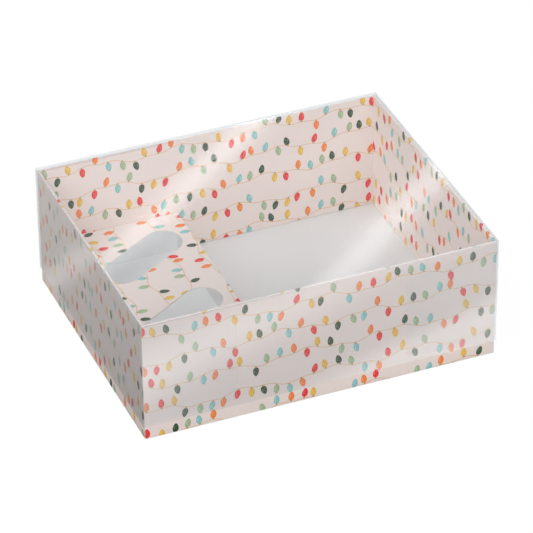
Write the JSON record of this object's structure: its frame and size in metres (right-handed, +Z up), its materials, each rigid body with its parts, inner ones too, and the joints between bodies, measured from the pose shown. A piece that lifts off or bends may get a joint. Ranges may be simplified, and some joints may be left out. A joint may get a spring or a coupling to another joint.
{
  "type": "cupcake box",
  "caption": "Clear film lid telescoping over a printed board tray with rolled double walls, beside a raised slotted deck that drops into the tray.",
  "frame": {"origin": "middle of the tray's footprint, on the surface that the box stands on", "axes": "+X to the right along the long side, with the slotted deck on the left, +Y from the front to the back, +Z up"},
  "size_m": [0.2518, 0.2026, 0.0913],
  "materials": {
    "printed_board": "satin printed paperboard",
    "plain_board": "plain grey-white paperboard",
    "clear_film": "clear glossy film"
  },
  "bodies": {
    "tray": {"tray_base": "plain_board", "tray_front_wall": "printed_board", "tray_back_wall": "printed_board", "tray_left_wall": "printed_board", "tray_right_wall": "printed_board", "tray_front_liner": "printed_board", "tray_back_liner": "printed_board", "tray_left_liner": "printed_board", "tray_right_liner": "printed_board", "tray_corner_flap_front_left": "printed_board", "tray_corner_flap_front_right": "printed_board", "tray_corner_flap_back_left": "printed_board", "tray_corner_flap_back_right": "printed_board"},
    "insert": {"insert_deck": "printed_board"},
    "left_leg": {"insert_left_leg": "printed_board"},
    "right_leg": {"insert_right_leg": "printed_board"},
    "front_leg": {"insert_front_leg": "printed_board"},
    "back_leg": {"insert_back_leg": "printed_board"},
    "lid": {"lid_top": "clear_film", "lid_front": "clear_film", "lid_back": "clear_film", "lid_left": "clear_film", "lid_right": "clear_film", "lid_tab_front_left": "clear_film", "lid_tab_front_right": "clear_film", "lid_tab_back_left": "clear_film", "lid_tab_back_right": "clear_film"}
  },
  "joints": [
    {"name": "lid_lift", "type": "slide", "parent": "tray", "child": "lid", "axis": [0, 0, 1], "range_m": [0, 0.095]},
    {"name": "insert_lift", "type": "slide", "parent": "tray", "child": "insert", "axis": [0, 0, 1], "range_m": [0, 0.057]},
    {"name": "right_leg_fold", "type": "hinge", "parent": "insert", "child": "right_leg", "pos_m": [-0.025, 0, 0.03085], "axis": [0, -1, 0], "range_deg": [0, 90]},
    {"name": "left_leg_fold", "type": "hinge", "parent": "insert", "child": "left_leg", "pos_m": [-0.1223, 0, 0.0307], "axis": [0, -1, 0], "range_deg": [0, 90]},
    {"name": "front_leg_fold", "type": "hinge", "parent": "insert", "child": "front_leg", "pos_m": [0, -0.098, 0.0307], "axis": [1, 0, 0], "range_deg": [0, 90]},
    {"name": "back_leg_fold", "type": "hinge", "parent": "insert", "child": "back_leg", "pos_m": [0, 0.098, 0.0307], "axis": [-1, 0, 0], "range_deg": [0, 90]}
  ]
}
